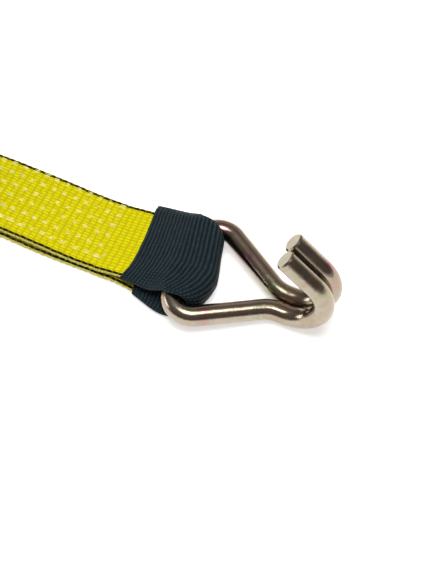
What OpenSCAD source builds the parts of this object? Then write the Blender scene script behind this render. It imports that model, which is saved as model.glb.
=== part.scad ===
// Ratchet strap, fixed end: ratchet buckle, short sewn 50 mm strap with a
// wear sleeve, and a double-J wire hook. It lies on its back on z = 0 with the
// strap along +X and every pivot along Y.

/* [Strap] */
// Width of the polyester webbing
web_w = 50; // [48:0.5:52]
// Thickness of one layer of webbing
web_t = 2.6; // [2.2:0.1:2.8]
// Anchor bolt to hook bar, along the strap
strap_len = 260; // [220:5:320]

/* [Sleeve] */
// Width of the woven wear sleeve, flat
sleeve_w = 57; // [56:0.5:60]
// Thickness of the sleeve's cloth
sleeve_t = 0.8; // [0.6:0.1:1]
// Sleeve's open end to hook bar
sleeve_len = 33; // [30:1:45]

/* [Hook] */
// Diameter of the hook's wire
wire_d = 12.5; // [12:0.1:13]
// Where the bar's and a leg's centre lines would cross, from the middle
hook_half_w = 42.5; // [41:0.5:45]
// Bar to where the two legs meet
hook_neck = 57; // [54:1:62]
// Bar to where the J starts to curl
hook_shank = 64.5; // [64:0.5:72]
// Radius of the J, to the wire's centre
hook_j_r = 22.4; // [20:0.2:26]
// How far the J curls
hook_j_angle = 143; // [130:1:150]
// Straight tip after the curl
hook_tip = 24.5; // [12:0.5:30]
// How far the hook has slid to one side on its bar
hook_slide = -5; // [-5:0.5:-4]

/* [Ratchet frame] */
// Spool axis to anchor bolt
frame_len = 108; // [104:1:116]
// Gap between the frame's side plates
frame_gap = 54; // [54:0.5:56]
// Thickness of the frame's and the handle's plate
plate_t = 3; // [2.5:0.1:3]
// Height of the spool axis
spool_z = 24.5; // [24:0.5:26]

/* [Spool] */
// Radius of the split spool
spool_r = 9.5; // [9:0.1:9.8]
// Slot between the spool's halves, for the webbing
slot_h = 5.4; // [5:0.1:6]
// Tip radius of the ratchet wheels
wheel_r = 22; // [21.8:0.1:22]
// Root radius of the ratchet wheels
root_r = 17.6; // [17.4:0.1:17.6]

/* [Handle] */
// Spool axis to the middle of the grip
handle_len = 172; // [165:1:175]
// Width of the moulded grip
grip_w = 102; // [96:1:106]
// Diameter of the moulded grip
grip_d = 25; // [24:0.5:26]

/* [Hidden] */
$fn = 64;

// Small gaps
run_gap = 0.1;      // round parts that turn in each other
slide_gap = 0.1;    // plates that slide in a slot
cloth_gap = 0.2;    // webbing inside the sleeve
loop_gap = 0.3;     // cloth round a bar or a tube

// Wire and cloth heights
wire_r = wire_d / 2;
band_t = web_t + 2 * (cloth_gap + sleeve_t);    // webbing with sleeve on both sides
bar_z = band_t + loop_gap + wire_r;
sew_low = web_t / 2;                            // centre of the lower layer where sewn
sew_high = 1.5 * web_t;                         // centre of the upper layer where sewn

// Places along the strap
hook_reach = hook_shank + hook_j_r + wire_r;
overall = wheel_r + frame_len + strap_len + hook_reach;
spool_x = wheel_r - overall / 2;
bolt_x = spool_x + frame_len;
bar_x = bolt_x + strap_len;
sleeve_x = bar_x - sleeve_len;
sew_end_x = sleeve_x - 17;
sew_start_x = bolt_x + 42;

// Anchor bolt, in the frame's own axes: u from the spool along +X, v up
bolt_r = 5;
bolt_v = 12.5 - spool_z;
tube_r = 8;
frame_end_r = 12.5;
cam_r = 16.5;
frame_y = frame_gap / 2 + plate_t / 2;
frame_out = frame_gap / 2 + plate_t;

// Spool stack, outwards from the frame
wheel_t = 4;
wheel_y = frame_out + 0.5 + wheel_t / 2;
arm_y = frame_out + 5.2 + plate_t / 2;
arm_in = arm_y - plate_t / 2;
arm_out = arm_y + plate_t / 2;
washer_t = 1.5;
washer_y = arm_out + 0.4 + washer_t / 2;
cotter_r = 1.5;
cotter_y = washer_y + washer_t / 2 + 0.3 + cotter_r;
spool_half_len = cotter_y + 3;

// Ratchet teeth: steep faces turn towards the pawls
teeth = 14;
pitch = 360 / teeth;
tooth_start = -13.7;
tooth_land = 3;     // width of a tip, in degrees
tooth_floor = 11;   // width of a root, in degrees

// Pawls, drawn back to just clear of the teeth
pawl_t = 3;
lock_v = -8.4;
lock_tip = 22.2;
lock_travel = 5;
drive_v = 8.8;
drive_tip = 20.8;
drive_travel = 5.2;
ear_len = 11;

// Springs
spring_wire = 1.2;
spring_r = 4.2;
spring_turns = 7;
tab_u = 74;         // frame's spring tab
bar_u = 88;         // handle's spring bar
bar_r = 5;
drive_shoulder = 54;
lock_shoulder = 55;

// Grip
grip_bolt_r = 4;
grip_v = 9;
grip_y = grip_w / 2;

// Hook angles: the legs' slant, and the tilt that rests the J on the ground
wire_gap = 0.3;
leg_y = wire_r + wire_gap / 2;
corner_r = 12.7;
neck_r = 20;
leg_slant = atan2(hook_half_w - leg_y, hook_neck);
bar_half = hook_half_w - corner_r * tan(45 + leg_slant / 2);
neck_run = neck_r * tan(leg_slant / 2);
lift_ratio = (bar_z - wire_r - hook_j_r) / norm([hook_shank, hook_j_r]);
hook_tilt = atan2(hook_j_r, hook_shank) + asin(lift_ratio);

// Colours
yellow = [0.82, 0.79, 0.12];
black_cloth = [0.15, 0.19, 0.21];
thread = [0.86, 0.83, 0.62];
zinc = [0.62, 0.56, 0.42];
bright = [0.70, 0.69, 0.66];
moulding = [0.06, 0.06, 0.07];

// ---- helpers ----

// Draws a flat sketch upright in the XZ plane, w thick, centred on y
module across(w, y = 0) {
    translate([0, y + w / 2, 0]) rotate([90, 0, 0]) linear_extrude(w) children();
}

// Moves to the spool axis
module at_spool() {
    translate([spool_x, 0, spool_z]) children();
}

// A round bar along Y
module bar_y(r, w, y = 0) {
    translate([0, y + w / 2, 0]) rotate([90, 0, 0]) cylinder(r = r, h = w);
}

// A hexagon along Y with its outward corners chamfered, growing towards +Y
module hex_y(flats, h) {
    across_corners = flats / cos(30);
    rotate([-90, 0, 0]) intersection() {
        cylinder(d = across_corners, h = h, $fn = 6);
        cylinder(r1 = across_corners / 2 + h, r2 = across_corners / 2 - 0.8, h = h);
    }
}

// Copies a part to both sides
module both_sides() {
    children();
    mirror([0, 1, 0]) children();
}

// Points round an arc, from angle a to angle b
function arc(c, r, a, b, n) = [for (i = [0:n]) c + r * [cos(a + (b - a) * i / n), sin(a + (b - a) * i / n)]];

// Where a line from q touches a circle, as an angle; side is 1 or -1
function touch(c, r, q, side) = atan2(q[1] - c[1], q[0] - c[0]) + side * acos(r / norm(q - c));

// A path moved sideways by d, to the right of its direction
function shifted(path, d) = [
    for (i = [0:len(path) - 1])
        let (a = path[max(i - 1, 0)], b = path[min(i + 1, len(path) - 1)], t = (b - a) / norm(b - a))
            path[i] + d * [t[1], -t[0]]
];

function reversed(path) = [for (i = [len(path) - 1:-1:0]) path[i]];

// ---- strap ----

// Centre line of the webbing round the hook bar, from the lower layer to the upper
loop_r = wire_r + loop_gap + band_t / 2;
loop_slack = 4;
mouth_low = [sleeve_x, band_t / 2];
mouth_high = [sleeve_x, 1.5 * band_t + 0.3];
high_slope = (mouth_high[1] - sew_high) / (sleeve_x - sew_end_x);
bar_c = [bar_x, bar_z];
wrap = concat(
    [mouth_low],
    arc(bar_c + [loop_slack, 0], loop_r, -90, 90, 16),
    arc(bar_c, loop_r, 90, touch(bar_c, loop_r, mouth_high, -1) + 360, 4),
    [mouth_high]
);
wrap_long = concat(
    [mouth_low - [3, 0]],
    wrap,
    [mouth_high - 3 * [1, high_slope]]
);
hook_loop = concat([[sew_end_x, sew_low]], wrap_long, [[sew_end_x, sew_high]]);

// Centre line of the webbing round the spacer tube, from the upper layer to the lower
bolt_c = [bolt_x, bolt_v + spool_z];
tube_loop_r = tube_r + loop_gap + web_t / 2;
sew_top = [sew_start_x, sew_high];
floor_touch = [bolt_x + 26, sew_low];
anchor_loop = concat(
    [sew_top],
    arc(bolt_c, tube_loop_r, touch(bolt_c, tube_loop_r, sew_top, 1),
        touch(bolt_c, tube_loop_r, floor_touch, -1) + 360, 20),
    [floor_touch, [sew_start_x, sew_low]]
);

// The strap's corners are cut away where the hook's bends swing; edge widens the cut
corner_back = 4;
corner_y = [hook_slide - bar_half + 0.7, hook_slide + bar_half - 0.7];
module loop_corners(edge) {
    far = 40;
    for (side = [0, 1])
        translate([bar_x - corner_back - edge, side == 0 ? corner_y[0] + edge - far : corner_y[1] - edge, -1])
            cube([far, far, far]);
}

module webbing() {
    color(yellow) difference() {
        across(web_w) difference() {
            polygon(concat(shifted(hook_loop, web_t / 2), shifted(anchor_loop, web_t / 2)));
            polygon(shifted(hook_loop, -web_t / 2));
            polygon(shifted(anchor_loop, -web_t / 2));
        }
        loop_corners(0.5);
    }
}

// Rows of lock stitch through both layers, standing just proud of the top
module stitching() {
    rows = 8;
    row_gap = 5.4;
    thread_w = 0.9;
    color(thread) for (i = [0:rows - 1])
        translate([sew_start_x + 6, (i - (rows - 1) / 2) * row_gap - thread_w / 2, 2 * web_t])
            cube([sew_end_x - sew_start_x - 8, thread_w, 0.4]);
}

module wear_sleeve() {
    slot_w = web_w + 1;
    color(black_cloth) difference() {
        across(sleeve_w)
            polygon(concat(shifted(wrap, band_t / 2), reversed(shifted(wrap, -band_t / 2))));
        across(slot_w)
            polygon(concat(
                shifted(wrap_long, web_t / 2 + cloth_gap),
                reversed(shifted(wrap_long, -web_t / 2 - cloth_gap))
            ));
        loop_corners(0);
    }
}

// ---- hook ----

// Thin collar, a hair proud, where two stretches of the wire meet
module joint_collar() {
    rotate([0, 90, 0]) cylinder(r = wire_r + 0.01, h = 0.2, center = true);
}

// Half of the bent wire: corner, leg, neck, J and tip
module hook_half() {
    leg_start = [corner_r * (1 + sin(leg_slant)), bar_half + corner_r * cos(leg_slant)];
    leg_end = [hook_neck - neck_run * cos(leg_slant), leg_y + neck_run * sin(leg_slant)];
    chamfer = 1;
    for (p = [[[0, bar_half], 90], [leg_start, -leg_slant], [leg_end, -leg_slant],
              [[hook_neck + neck_run, leg_y], 0], [[hook_shank, leg_y], 0]])
        translate([p[0][0], p[0][1], 0]) rotate([0, 0, p[1]]) joint_collar();
    translate([hook_shank + hook_j_r * sin(hook_j_angle), leg_y, hook_j_r * (1 - cos(hook_j_angle))])
        rotate([0, -hook_j_angle, 0]) joint_collar();
    translate([corner_r, bar_half, 0]) rotate([0, 0, 90 - leg_slant])
        rotate_extrude(angle = 90 + leg_slant) translate([corner_r, 0]) circle(wire_r);
    translate([leg_start[0], leg_start[1], 0]) rotate([0, 0, -leg_slant]) rotate([0, 90, 0])
        cylinder(r = wire_r, h = norm(leg_end - leg_start));
    translate([hook_neck + neck_run, leg_y + neck_r, 0]) rotate([0, 0, -90 - leg_slant])
        rotate_extrude(angle = leg_slant) translate([neck_r, 0]) circle(wire_r);
    translate([hook_neck + neck_run, leg_y, 0]) rotate([0, 90, 0])
        cylinder(r = wire_r, h = hook_shank - hook_neck - neck_run);
    translate([hook_shank, leg_y, hook_j_r]) rotate([90, 0, 0]) rotate([0, 0, -90])
        rotate_extrude(angle = hook_j_angle) translate([hook_j_r, 0]) circle(wire_r);
    translate([hook_shank + hook_j_r * sin(hook_j_angle), leg_y, hook_j_r * (1 - cos(hook_j_angle))])
        rotate([0, 90 - hook_j_angle, 0]) {
            cylinder(r = wire_r, h = hook_tip - chamfer);
            translate([0, 0, hook_tip - chamfer])
                cylinder(r1 = wire_r, r2 = wire_r - chamfer, h = chamfer);
        }
}

module hook() {
    color(zinc) translate([bar_x, hook_slide, bar_z]) rotate([0, hook_tilt, 0]) {
        bar_y(wire_r, 2 * bar_half);
        both_sides() hook_half();
    }
}

// ---- frame ----

module frame_side() {
    slot_end = lock_tip + ear_len + 0.4;
    slot_start = lock_tip - lock_travel - 0.4;
    difference() {
        union() {
            circle(cam_r);
            translate([frame_len, bolt_v]) circle(frame_end_r);
            polygon([
                [0, 0.3 - cam_r], [24, -spool_z], [frame_len, -spool_z],
                [frame_len, bolt_v + frame_end_r - 0.3], [66, 6], [0, 6]
            ]);
        }
        circle(spool_r + run_gap);
        translate([frame_len, bolt_v]) circle(bolt_r + run_gap);
        translate([slot_start, lock_v - slide_gap])
            square([slot_end - slot_start, pawl_t + 2 * slide_gap]);
    }
}

module frame_channel() {
    web_start = 30;
    web_len = 56;
    tab_w = 14;
    tab_top = lock_v + pawl_t / 2 + 6;
    color(zinc) at_spool() {
        both_sides() across(plate_t, frame_y) frame_side();
        translate([web_start, -frame_gap / 2 - 1, -spool_z])
            cube([web_len, frame_gap + 2, plate_t]);
        translate([tab_u, -tab_w / 2, -spool_z + plate_t / 2])
            cube([plate_t, tab_w, tab_top + spool_z - plate_t / 2]);
    }
}

washer_gap = 0.05;
anchor_washer_t = 1.8;
anchor_face = frame_out + washer_gap + anchor_washer_t;

module at_bolt() {
    translate([bolt_c[0], 0, bolt_c[1]]) children();
}

module anchor_bolt() {
    head_h = 6.4;
    shank_len = 2 * anchor_face + 11;
    color(bright) at_bolt() {
        bar_y(bolt_r, shank_len, shank_len / 2 - anchor_face);
        mirror([0, 1, 0]) translate([0, anchor_face, 0]) hex_y(16, head_h);
    }
}

module anchor_nut() {
    nut_h = 8;
    color(bright) at_bolt() translate([0, anchor_face + washer_gap, 0]) difference() {
        hex_y(16, nut_h);
        bar_y(bolt_r + 0.05, 3 * nut_h);
    }
}

module anchor_washers() {
    color(bright) at_bolt() both_sides() difference() {
        bar_y(10, anchor_washer_t, frame_out + washer_gap / 2 + anchor_washer_t / 2);
        bar_y(bolt_r + run_gap, 200);
    }
}

module spacer_tube() {
    color(bright) at_bolt() difference() {
        bar_y(tube_r, frame_gap - 0.4);
        bar_y(bolt_r + run_gap, frame_gap);
    }
}

// ---- spool ----

// Half-round bar of the spool; side is 1 for the upper, -1 for the lower
module spool_half(side) {
    hole_gap = 0.1;
    color(bright) at_spool() difference() {
        intersection() {
            bar_y(spool_r, 2 * spool_half_len);
            translate([-spool_r, -spool_half_len, side > 0 ? slot_h / 2 : -slot_h / 2 - spool_r])
                cube([2 * spool_r, 2 * spool_half_len, spool_r]);
        }
        both_sides() translate([0, cotter_y, -2 * spool_r])
            cylinder(r = cotter_r + hole_gap, h = 4 * spool_r);
    }
}

// One saw tooth: tip, land, then a slope down to the root
function tooth(a) = [
    wheel_r * [cos(a), sin(a)],
    wheel_r * [cos(a + tooth_land), sin(a + tooth_land)],
    root_r * [cos(a + pitch - tooth_floor), sin(a + pitch - tooth_floor)],
    root_r * [cos(a + pitch), sin(a + pitch)]
];

module ratchet_wheel(y) {
    bridge = slot_h / 2 - 0.05;
    color(zinc) at_spool() across(wheel_t, y) {
        difference() {
            polygon([for (i = [0:teeth - 1]) each tooth(tooth_start + i * pitch)]);
            circle(spool_r + 0.05);
        }
        translate([-spool_r - 1, -bridge]) square([2 * spool_r + 2, 2 * bridge]);
    }
}

module spool_washers() {
    washer_r = 15;
    color(bright) at_spool() both_sides() difference() {
        bar_y(washer_r, washer_t, washer_y);
        bar_y(spool_r + run_gap, 200);
    }
}

// Split pin through both halves of the spool: eye above, legs spread below
module cotter_pin(side) {
    eye_r = 2.6;
    eye_wire = 1.2;
    top = spool_r + 1;
    leg = 5;
    spread = 28;
    color(bright) at_spool() translate([0, side * cotter_y, 0]) {
        translate([0, 0, -top]) cylinder(r = cotter_r, h = 2 * top);
        translate([0, 0, top + eye_r]) rotate([90, 0, 0])
            rotate_extrude() translate([eye_r, 0]) circle(eye_wire);
        for (a = [-spread, spread])
            translate([0, 0, -top + 1]) rotate([0, 180 + a, 0])
                cylinder(r = 0.9, h = leg);
    }
}

// ---- handle ----

module handle_arm(side) {
    slot_start = drive_tip - drive_travel - 0.2;
    slot_len = drive_travel + ear_len + 1.6;
    arm_h = 18;
    y = side * arm_y;
    color(zinc) at_spool() difference() {
        union() {
            bar_y(arm_h, plate_t, y);
            across(plate_t, y) polygon([
                [0, arm_h - 0.2], [handle_len, arm_h - 0.2], [handle_len, 0.2],
                [34, 0.2], [11.5, -13.4], [0, -5]
            ]);
            translate([handle_len, 0, grip_v]) bar_y(grip_v, plate_t, y);
        }
        bar_y(spool_r + run_gap, 2 * plate_t, y);
        translate([slot_start, y - plate_t, drive_v - slide_gap])
            cube([slot_len, 2 * plate_t, pawl_t + 2 * slide_gap]);
        translate([bar_u, 0, drive_v + pawl_t / 2]) bar_y(bar_r - 1 + 0.05, 2 * plate_t, y);
        translate([handle_len, 0, grip_v]) bar_y(grip_bolt_r + run_gap, 2 * plate_t, y);
    }
}

// Shouldered cross bar riveted between the arms; the drive pawl's spring pushes on it
module spring_bar() {
    head_t = 1.4;
    color(bright) at_spool() translate([bar_u, 0, drive_v + pawl_t / 2]) {
        bar_y(bar_r, 2 * arm_in - 0.2);
        bar_y(bar_r - 1, 2 * arm_out + 1);
        both_sides() bar_y(bar_r + 1, head_t, arm_out + 0.1 + head_t / 2);
    }
}

// Grip outline from its middle to one end: shallow finger waves, then a round end
grip_r = grip_d / 2;
wave = 0.7;
waves = 4;
round_end = 5;
steps = 32;
grip_straight = grip_y - round_end;
function wave_r(t) = grip_r - wave + wave * cos(360 * waves * t / 2);
grip_half = concat(
    [for (i = [0:steps - 1]) [wave_r(i / steps), grip_straight * i / steps]],
    arc([grip_r - round_end, grip_straight], round_end, 0, 90, 6)
);
grip_outline = concat(
    [[0, -grip_y]],
    reversed([for (p = grip_half) [p[0], -p[1]]]),
    [for (i = [1:len(grip_half) - 1]) grip_half[i]],
    [[0, grip_y]]
);

module handle_grip() {
    slot_t = plate_t + 0.2;
    recess_r = 8;
    recess_d = 6.5;
    color(moulding) at_spool() translate([handle_len, 0, grip_v]) difference() {
        rotate([90, 0, 0]) rotate_extrude() polygon(grip_outline);
        bar_y(grip_bolt_r + run_gap, 2 * grip_w);
        both_sides() {
            bar_y(grip_v + 0.2, slot_t, arm_y);
            translate([-2 * grip_r, arm_y - slot_t / 2, -grip_v - 0.2])
                cube([2 * grip_r, slot_t, 2 * grip_v + 0.4]);
            bar_y(recess_r, 2 * recess_d, grip_y);
        }
    }
}

grip_seat = grip_y - 6.5;

module grip_bolt() {
    head_h = 5.3;
    shank_len = 2 * grip_seat + 5.5;
    color(bright) at_spool() translate([handle_len, 0, grip_v]) {
        bar_y(grip_bolt_r, shank_len, shank_len / 2 - grip_seat);
        mirror([0, 1, 0]) translate([0, grip_seat, 0]) hex_y(13, head_h);
    }
}

module grip_nut() {
    nut_h = 5;
    color(bright) at_spool() translate([handle_len, grip_seat, grip_v]) difference() {
        hex_y(13, nut_h);
        bar_y(grip_bolt_r + 0.05, 4 * nut_h);
    }
}

// ---- pawls and springs ----

// Plate with two ears, a tongue for the spring, and finger tabs that bend up
module drive_pawl() {
    front = 27;
    body_y = arm_in - 0.3;
    ear_y = arm_out + 1.6;
    tongue_w = 5;
    tongue_len = 16;
    tab_y0 = 9;
    tab_y1 = 30;
    bend = 3;
    tab_h = 9;
    color(zinc) at_spool() {
        translate([front, -body_y, drive_v]) cube([drive_shoulder - front, 2 * body_y, pawl_t]);
        translate([drive_shoulder - 1, -tongue_w / 2, drive_v]) cube([tongue_len, tongue_w, pawl_t]);
        both_sides() {
            translate([drive_tip, wheel_y - wheel_t / 2 - 0.3, drive_v])
                cube([ear_len, ear_y - wheel_y + wheel_t / 2 + 0.3, pawl_t]);
            across(tab_y1 - tab_y0, (tab_y0 + tab_y1) / 2) {
                translate([drive_shoulder, drive_v + pawl_t + bend]) difference() {
                    circle(bend + pawl_t);
                    circle(bend);
                    translate([-20, -20]) square([20, 40]);
                    translate([-20, 0]) square([40, 20]);
                }
                translate([drive_shoulder + bend, drive_v + pawl_t + bend]) {
                    square([pawl_t, tab_h]);
                    translate([pawl_t / 2, tab_h]) circle(pawl_t / 2);
                }
            }
        }
    }
}

module lock_pawl() {
    front = 31;
    body_y = frame_gap / 2 - 0.6;
    ear_y = arm_in - 0.3;
    ear_in = 22;
    tongue_w = 5;
    tongue_len = 12;
    color(zinc) at_spool() translate([0, 0, lock_v]) {
        translate([front, -body_y, 0]) cube([lock_shoulder - front, 2 * body_y, pawl_t]);
        translate([lock_shoulder - 1, -tongue_w / 2, 0]) cube([tongue_len, tongue_w, pawl_t]);
        both_sides() translate([lock_tip, ear_in, 0]) cube([ear_len, ear_y - ear_in, pawl_t]);
    }
}

// Round wire swept along a helix about +X, closed at both ends
module coil(len) {
    sides = 6;
    per_turn = 14;
    rings = spring_turns * per_turn;
    run = len - spring_wire;
    points = [
        for (i = [0:rings], j = [0:sides - 1])
            let (a = 360 * i / per_turn, b = 360 * j / sides, r = spring_r + spring_wire / 2 * cos(b))
                [spring_wire / 2 + run * i / rings + spring_wire / 2 * sin(b), r * cos(a), r * sin(a)]
    ];
    skin = [
        for (i = [0:rings - 1], j = [0:sides - 1])
            let (p = i * sides + j, q = i * sides + (j + 1) % sides)
                [p, p + sides, q + sides, q]
    ];
    start_cap = [for (j = [0:sides - 1]) j];
    end_cap = [for (j = [sides - 1:-1:0]) rings * sides + j];
    polyhedron(points, concat([start_cap], skin, [end_cap]), convexity = 10);
}

module drive_pawl_spring() {
    color(bright) at_spool()
        translate([drive_shoulder + 0.1, 0, drive_v + pawl_t / 2])
            coil(bar_u - bar_r - drive_shoulder - 0.2);
}

module lock_pawl_spring() {
    color(bright) at_spool()
        translate([lock_shoulder + 0.1, 0, lock_v + pawl_t / 2])
            coil(tab_u - lock_shoulder - 0.2);
}

frame_channel();
anchor_bolt();
anchor_nut();
anchor_washers();
spacer_tube();
spool_half(1);  // spool_half_upper
spool_half(-1);  // spool_half_lower
ratchet_wheel(-wheel_y);  // ratchet_wheel_near
ratchet_wheel(wheel_y);  // ratchet_wheel_far
spool_washers();
cotter_pin(-1);  // cotter_pin_near
cotter_pin(1);  // cotter_pin_far
handle_arm(-1);  // handle_arm_near
handle_arm(1);  // handle_arm_far
spring_bar();
handle_grip();
grip_bolt();
grip_nut();
drive_pawl();
drive_pawl_spring();
lock_pawl();
lock_pawl_spring();
webbing();
stitching();
wear_sleeve();
hook();
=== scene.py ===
import math

import bpy
import numpy as np
from mathutils import Matrix, Vector


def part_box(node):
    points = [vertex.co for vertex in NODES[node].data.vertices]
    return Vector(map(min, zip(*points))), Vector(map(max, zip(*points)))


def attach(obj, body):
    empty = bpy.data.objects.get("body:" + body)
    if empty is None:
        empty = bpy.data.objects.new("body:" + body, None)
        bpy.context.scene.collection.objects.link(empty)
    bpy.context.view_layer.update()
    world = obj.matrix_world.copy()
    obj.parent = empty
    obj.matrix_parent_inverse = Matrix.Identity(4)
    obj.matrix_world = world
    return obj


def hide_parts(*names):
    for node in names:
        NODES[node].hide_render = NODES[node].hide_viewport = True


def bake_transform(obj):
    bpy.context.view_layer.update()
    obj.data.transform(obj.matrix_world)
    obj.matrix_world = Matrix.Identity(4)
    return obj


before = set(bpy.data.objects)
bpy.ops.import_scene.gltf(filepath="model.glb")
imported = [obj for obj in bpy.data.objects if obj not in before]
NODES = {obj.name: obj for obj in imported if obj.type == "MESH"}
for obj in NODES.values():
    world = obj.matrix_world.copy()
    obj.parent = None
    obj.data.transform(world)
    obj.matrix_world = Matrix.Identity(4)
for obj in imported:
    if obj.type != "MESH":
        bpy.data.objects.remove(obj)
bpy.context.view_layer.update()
scene = bpy.context.scene
MM = 0.001

# ---------------------------------------------------------------- measures, in millimetres


def box_mm(node):
    """A CAD node's lowest and highest corner, in millimetres."""
    lo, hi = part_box(node)
    return np.array(lo) / MM, np.array(hi) / MM


WIRE_R = 6.25
WEB_W, WEB_T = 50.0, 2.6
SLEEVE_W, CLOTH_T = 57.0, 0.8
SLEEVE_LEN = 33.0                        # from the bar to the sleeve's mouths
RIB, END = 4.2, 2.13                     # the webbing's weave repeats by this much along it and across it
SLEEVE_RIB, SLEEVE_END = 2.5, 1.5        # and the sleeve's
BAR_X = box_mm("hook")[0][0] + WIRE_R
BAR_Z = box_mm("wear_sleeve")[1][2] / 2
TUBE_LO, TUBE_HI = box_mm("spacer_tube")
BOLT_X, BOLT_Z = (TUBE_LO[0] + TUBE_HI[0]) / 2, (TUBE_LO[2] + TUBE_HI[2]) / 2
TUBE_R = (TUBE_HI[0] - TUBE_LO[0]) / 2
# the two layers lie flat on each other between these, which are X from the hook's bar
SEW_START = box_mm("stitching")[0][0] - 6 - BAR_X
SEW_END = -50.0
LOW, HIGH = WEB_T / 2, 1.5 * WEB_T       # the middles of the lower and the upper layer there
AIR = 0.1
SHEATH = WEB_T / 2 + CLOTH_T + AIR       # from the webbing's middle to the sleeve's outside
MOUTH_HIGH_Z = 6.9                       # the upper layer's middle at the sleeve's mouth
LOOP_R = BAR_Z - SHEATH                  # the webbing's middle round the bar

# ---------------------------------------------------------------- camera

AZ, EL, DIST = math.radians(23.55), math.radians(56.17), 0.8658
# the hook's bar sits left of the picture's middle and above it, so the camera looks past it
ASIDE, BELOW = 0.0189, 0.01435
LENS = 89.7
back = Vector((math.sin(AZ) * math.cos(EL), -math.cos(AZ) * math.cos(EL), math.sin(EL)))
right = Vector((math.cos(AZ), math.sin(AZ), 0))
up = back.cross(right)
aim = (back - right * ASIDE + up * BELOW).normalized()
level = (right - aim * right.dot(aim)).normalized()
cam_data = bpy.data.cameras.new("camera")
cam_data.sensor_width = 36
cam_data.lens = LENS
cam_data.clip_start, cam_data.clip_end = 0.01, 50
camera = bpy.data.objects.new("camera", cam_data)
scene.collection.objects.link(camera)
camera.location = Vector((BAR_X * MM, 0, 0)) + back * DIST
camera.rotation_mode = "QUATERNION"
camera.rotation_quaternion = Matrix((level, aim.cross(level), aim)).transposed().to_quaternion()
scene.camera = camera

# ---------------------------------------------------------------- node helpers


class Nodes:
    """Strings a tree's nodes together. A value is a number, a vector, a colour or a node's output."""

    def __init__(self, tree):
        self.tree = tree

    def node(self, kind, **props):
        n = self.tree.nodes.new(kind)
        for k, v in props.items():
            setattr(n, k, v)
        return n

    def feed(self, socket, value):
        if isinstance(value, bpy.types.NodeSocket):
            self.tree.links.new(value, socket)
        elif value is not None:
            socket.default_value = value

    def split(self, vector):
        n = self.node("ShaderNodeSeparateXYZ")
        self.feed(n.inputs[0], vector)
        return n.outputs

    def math(self, op, *values):
        n = self.node("ShaderNodeMath", operation=op)
        for socket, v in zip(n.inputs, values):
            self.feed(socket, v)
        return n.outputs[0]

    def between(self, value, lo, hi, out_lo=0.0, out_hi=1.0, kind="SMOOTHSTEP"):
        """From out_lo where the value is lo to out_hi where it is hi, and level outside."""
        n = self.node("ShaderNodeMapRange", interpolation_type=kind)
        for socket, v in zip(n.inputs, (value, lo, hi, out_lo, out_hi)):
            self.feed(socket, v)
        return n.outputs[0]

    def mix(self, fac, a, b):
        """A colour between a and b."""
        n = self.node("ShaderNodeMix", data_type="RGBA")
        self.feed(n.inputs[0], fac)
        self.feed(n.inputs[6], a)
        self.feed(n.inputs[7], b)
        return n.outputs[2]

    def ramp(self, fac, stops):
        n = self.node("ShaderNodeValToRGB")
        self.feed(n.inputs[0], fac)
        elements = n.color_ramp.elements
        while len(elements) < len(stops):
            elements.new(0.5)
        for element, (at, colour) in zip(elements, stops):
            element.position = at
            element.color = colour
        return n.outputs[0]


class Shader(Nodes):
    """The nodes of one new material."""

    def __init__(self, name):
        self.mat = bpy.data.materials.new(name)
        self.mat.use_nodes = True
        super().__init__(self.mat.node_tree)
        self.bsdf = self.tree.nodes["Principled BSDF"]

    def coords(self):
        return self.node("ShaderNodeTexCoord").outputs["Object"]

    def weave(self):
        """The cloth's own map in millimetres, and its two parts: along the cloth and across it."""
        both = self.node("ShaderNodeUVMap", uv_map="weave").outputs["UV"]
        along, across, _ = self.split(both)
        return both, along, across

    def scaled(self, vector, scale):
        n = self.node("ShaderNodeVectorMath", operation="MULTIPLY")
        self.feed(n.inputs[0], vector)
        n.inputs[1].default_value = scale
        return n.outputs[0]

    def attribute(self, name):
        return self.node("ShaderNodeAttribute", attribute_name=name).outputs["Fac"]

    def noise(self, vector, scale, detail=3.0, rough=0.5, distortion=0.0):
        n = self.node("ShaderNodeTexNoise")
        self.feed(n.inputs["Vector"], vector)
        n.inputs["Scale"].default_value = scale
        n.inputs["Detail"].default_value = detail
        n.inputs["Roughness"].default_value = rough
        n.inputs["Distortion"].default_value = distortion
        return n.outputs["Fac"]

    def spread(self, cloth, along, across, detail, rough=0.5):
        """Noise over cloth, scaled by so much a millimetre along it and across it."""
        return self.noise(self.scaled(cloth, (along, across, 1.0)), 1.0, detail, rough)

    def sway(self, cloth, along, across, detail, size):
        """The same noise about zero."""
        centred = self.math("SUBTRACT", self.spread(cloth, along, across, detail), 0.5)
        return self.math("MULTIPLY", centred, size)

    def wave(self, value, length):
        """A cosine with a crest at every length."""
        return self.math("COSINE", self.math("MULTIPLY", value, 2 * math.pi / length))

    def bump(self, height, distance, strength, below=None):
        n = self.node("ShaderNodeBump")
        self.feed(n.inputs["Height"], height)
        n.inputs["Distance"].default_value = distance
        n.inputs["Strength"].default_value = strength
        self.feed(n.inputs["Normal"], below)
        return n.outputs[0]

    def surface(self, colour, roughness, normal=None, **fixed):
        self.feed(self.bsdf.inputs["Base Color"], colour)
        self.feed(self.bsdf.inputs["Roughness"], roughness)
        self.feed(self.bsdf.inputs["Normal"], normal)
        for name, value in fixed.items():
            self.bsdf.inputs[name.replace("_", " ")].default_value = value
        return self.mat


def rgb(r, g, b):
    return (r, g, b, 1)


def grey(v):
    return (v, v, v, 1)


# ---------------------------------------------------------------- materials


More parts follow.
